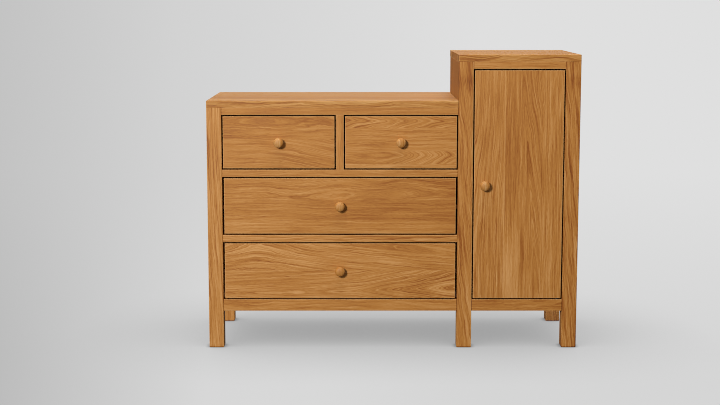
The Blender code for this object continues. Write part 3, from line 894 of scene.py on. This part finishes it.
for node, top in tops.items():
    low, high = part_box(node)
    staves = plainStaves(low[1], high[1], topShape["stave"], low[0], top["seed"])
    # lighter adds painted light to the tall top's staves
    lighter = top.get("lighter", 0.0)
    for stave in staves:
        stave["bold"] = [(0.0, topShape["bold"])]
        stave["tone"] = [(s, topShape["contrast"] * tone + lighter) for s, tone in stave["tone"]]
    staves[0].update(top["front"])
    oakBoard(
        node,
        "xyz",
        staves,
        topShape["eased"],
        top["ends"],
        material=topSheenOak,
        shade=(0.0, top["under"], topShape["topEndWearAndHighlight"], 0.0),
        edges=top["edges"],
    )

# Side, partition and back panels, glued up from upright staves
panels = {
    "left_side_panel": {"order": "zyx", "posts": ("front_left_post", "rear_left_post"), "seed": 41},
    "partition_panel": {
        "order": "zyx",
        "posts": ("front_middle_post", "rear_middle_post"),
        "seed": 42,
        # painted shade: the tall part's left face, lit only at a slant, drawn darker
        "tone": -0.15,
    },
    "right_side_panel": {"order": "zyx", "posts": ("front_right_post", "rear_right_post"), "seed": 43},
    "low_back_panel": {"order": "zxy", "seed": 44},
    "tall_back_panel": {"order": "zxy", "seed": 45},
}
panelShape = {"stave": 0.095, "edge": 0.0004, "ends": 0.0006}
for node, panel in panels.items():
    low, high = [np.array(corner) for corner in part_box(node)]
    trim = []
    if "posts" in panel:
        low[1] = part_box(panel["posts"][0])[1][1] + seatGap
        high[1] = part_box(panel["posts"][1])[0][1] - seatGap
        trim = [("y", "low", low[1]), ("y", "high", high[1])]
    c = "xyz".index(panel["order"][1])
    staves = plainStaves(low[c], high[c], panelShape["stave"], low[2], panel["seed"])
    for stave in staves:
        stave["tone"] = [(s, tone + panel.get("tone", 0.0)) for s, tone in stave["tone"]]
    edge, ends = panelShape["edge"], panelShape["ends"]
    oakBoard(node, panel["order"], staves, edge, ends, trim=trim)
print("case: posts, rails, tops and panels")


# Knobs: a flattened ball on a short neck, turned about the axis that stands out of the face. Its outline
# is a superellipse: (radius / full radius) and (height / half the head), each to the fullness, sum to 1
knobShape = {
    "radius": 0.016,
    "head": 0.020,
    "reach": 0.0255,
    "fullness": 2.5,
    "neck": 0.0072,
    "foot": 0.0086,
    "flare": 0.5,  # where the neck starts to widen, as a share of its height
    "sunk": 0.002,  # how far the foot goes into the face
    "log": (0.03, 0.05),  # how far to the side and behind the pith lies
    "turns": 48,
    "rows": 30,
}
# The tone of each
knobs = {
    "top_left_drawer_knob": 0.16,
    "top_right_drawer_knob": 0.08,
    "middle_drawer_knob": 0.10,
    "bottom_drawer_knob": 0.04,
    "door_knob": 0.08,
}


def turnedSurface(radii, heights, turns, centre):
    # Radius and height of the profile go round the axis that points to -Y; both ends close in one point
    angle = np.linspace(0, 2 * math.pi, turns, endpoint=False)
    ring = np.stack(
        [
            centre[0] + radii[1:-1, None] * np.cos(angle),
            centre[1] - heights[1:-1, None] + 0 * angle,
            centre[2] + radii[1:-1, None] * np.sin(angle),
        ],
        -1,
    )
    tips = np.array([[centre[0], centre[1] - h, centre[2]] for h in (heights[0], heights[-1])])
    rows = len(radii) - 2
    s, u = np.meshgrid(np.arange(rows - 1), np.arange(turns), indexing="ij")
    here, there = s * turns, (s + 1) * turns
    nextU = (u + 1) % turns
    sides = np.stack([here + u, there + u, there + nextU, here + nextU], -1)
    u = np.arange(turns)
    nextU = (u + 1) % turns
    lastRow = (rows - 1) * turns
    near = np.stack([u, nextU, np.full(turns, rows * turns)], -1)
    far = np.stack([lastRow + nextU, lastRow + u, np.full(turns, rows * turns + 1)], -1)
    return np.concatenate([ring.reshape(-1, 3), tips]), sides.reshape(-1, 4), np.concatenate([near, far])


r, neck, foot = knobShape["radius"], knobShape["neck"], knobShape["foot"]
power = 2 / knobShape["fullness"]
turn = np.linspace(math.pi / 2, -math.acos((neck / r) ** (1 / power)), knobShape["rows"])
headRadii = r * np.abs(np.cos(turn)) ** power
headRadii[0] = 0.0
headRise = knobShape["head"] / 2 * np.sign(np.sin(turn)) * np.abs(np.sin(turn)) ** power
headHeights = knobShape["reach"] - knobShape["head"] / 2 + headRise
flare, sunk = headHeights[-1] * knobShape["flare"], -knobShape["sunk"]
radii = np.concatenate([headRadii, [neck, foot, foot, 0.0]])
heights = np.concatenate([headHeights, [flare, 0.0, sunk, sunk]])
for node, tone in knobs.items():
    low, high = [np.array(corner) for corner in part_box(node)]
    face = low[1] + knobShape["reach"]
    centre = np.array([(low[0] + high[0]) / 2, face, (low[2] + high[2]) / 2])
    vertices, quads, triangles = turnedSurface(radii, heights, knobShape["turns"], centre)
    mesh = bpy.data.meshes.new(node + "_turned")
    mesh.from_pydata(vertices.tolist(), [], quads.tolist() + triangles.tolist())
    mesh.polygons.foreach_set("use_smooth", np.ones(len(mesh.polygons), bool))
    loopVertex = np.zeros(len(mesh.loops), np.int32)
    mesh.loops.foreach_get("vertex_index", loopVertex)
    corner = vertices[loopVertex]
    aside, behind = knobShape["log"]
    grain = np.stack(
        [
            corner[:, 2] + staveOffset * logNumber(node),
            corner[:, 0] - centre[0] + aside,
            corner[:, 1] - face + behind,
        ],
        -1,
    )
    figure = np.tile([0.0, tone, 1.0], (len(corner), 1))
    setCorners(mesh, {"grain": grain, "figure": figure, "wearAndPaintedLight": np.zeros(len(corner))})
    placePiece(mesh, node, knobSheenOak)
print("knobs:", len(knobs))


# Plain timbers inside: birch drawer boxes, beech runners and the oak shelf keep the solids' own shapes.
# Birch: pale, planed and sealed, faint streaks. Beech: pinker, short dark flecks. Both matt.
plainFinishes = {
    "birch_sealed": {
        "ramp": [(0.0, "#b98e5c"), (0.5, "#d3b182"), (1.0, "#e2c79d")],
        "streak": (0.30, 0.009),
        "fleck": (0.011, 0.0011),
        "shares": (0.75, 0.20),
        "roughness": 0.55,
    },
    "beech_planed": {
        "ramp": [(0.0, "#9a6a3e"), (0.5, "#bd8c5c"), (1.0, "#cfa374")],
        "streak": (0.25, 0.007),
        "fleck": (0.006, 0.0010),
        "shares": (0.65, 0.35),
        "roughness": 0.50,
    },
    "honey_oak_inside": {
        "ramp": oakFinish["ramp"][1:],
        "streak": (0.28, 0.006),
        "fleck": (0.014, 0.0011),
        "shares": (1.10, 0.25),
        "roughness": 0.48,
    },
}
plainSurface = {
    "bump": 0.2,
    "bumpHeight": 0.0003,
    "fleckSpan": (-0.2, 0.2),
    "uneven": 0.06,  # how far the roughness goes up and down with the flecks
}


def plainTimber(name, finish, along):
    # Streaks and flecks on Object coordinates, long in the direction of the grain
    material, tree = bareMaterial(name)
    place = addNode(tree, "TexCoord").outputs["Object"]
    value = 0.5
    for (length, width), share in zip((finish["streak"], finish["fleck"]), finish["shares"]):
        sizes = [width] * 3
        sizes["xyz".index(along)] = length
        noise = stretchedNoise(tree, place, sizes, 2.0)
        height = addNode(tree, "Math", {0: noise, 1: 0.5}, operation="SUBTRACT")
        value = addNode(tree, "Math", {0: height, 1: share, 2: value}, operation="MULTIPLY_ADD")
    colour = addNode(tree, "ValToRGB", {0: value}, finish["ramp"])
    relief = {"Height": height, "Strength": plainSurface["bump"], "Distance": plainSurface["bumpHeight"]}
    bump = addNode(tree, "Bump", relief)
    dry, uneven = finish["roughness"], plainSurface["uneven"]
    rough = remap(tree, height, plainSurface["fleckSpan"], (dry - uneven, dry + uneven))
    look = {"Base Color": colour, "Roughness": rough, "Normal": bump}
    addNode(tree, "OutputMaterial", {0: addNode(tree, "BsdfPrincipled", look)})
    return material


# Steel, turned and oiled dark: dull grey-brown with fine turning marks round each pin
steelFinish = {
    "ramp": [(0.3, "#2b2826"), (0.7, "#45413d")],
    "mark": (1 / 60, 1 / 60, 0.0006),
    "markSpan": (0.3, 0.7),
    "roughness": (0.38, 0.55),
    "bump": 0.2,
    "bumpHeight": 0.0002,
}
steel, tree = bareMaterial("oiled_steel")
place = addNode(tree, "TexCoord").outputs["Object"]
marks = stretchedNoise(tree, place, steelFinish["mark"], 2.0)
tint = addNode(tree, "ValToRGB", {0: marks}, steelFinish["ramp"])
rough = remap(tree, marks, steelFinish["markSpan"], steelFinish["roughness"])
relief = {"Height": marks, "Strength": steelFinish["bump"], "Distance": steelFinish["bumpHeight"]}
bump = addNode(tree, "Bump", relief)
look = {"Base Color": tint, "Metallic": 1.0, "Roughness": rough, "Normal": bump}
addNode(tree, "OutputMaterial", {0: addNode(tree, "BsdfPrincipled", look)})

birchAlong = {axis: plainTimber("birch_sealed_" + axis, plainFinishes["birch_sealed"], axis) for axis in "xy"}
beech = plainTimber("beech_planed", plainFinishes["beech_planed"], "y")
insideOak = plainTimber("honey_oak_inside", plainFinishes["honey_oak_inside"], "x")
for name, node in nodes.items():
    finish = None
    if name.endswith("_side"):
        finish = birchAlong["y"]
    elif name.endswith(("drawer_back", "drawer_bottom")):
        finish = birchAlong["x"]
    elif name.endswith("_runner"):
        finish = beech
    elif name in ("cupboard_floor", "shelf"):
        finish = insideOak
    elif name.endswith(("_pin", "_catch")):
        finish = steel
    for materialSlot in node.material_slots if finish else []:
        materialSlot.material = finish
print("inside: birch, beech, oak and steel")
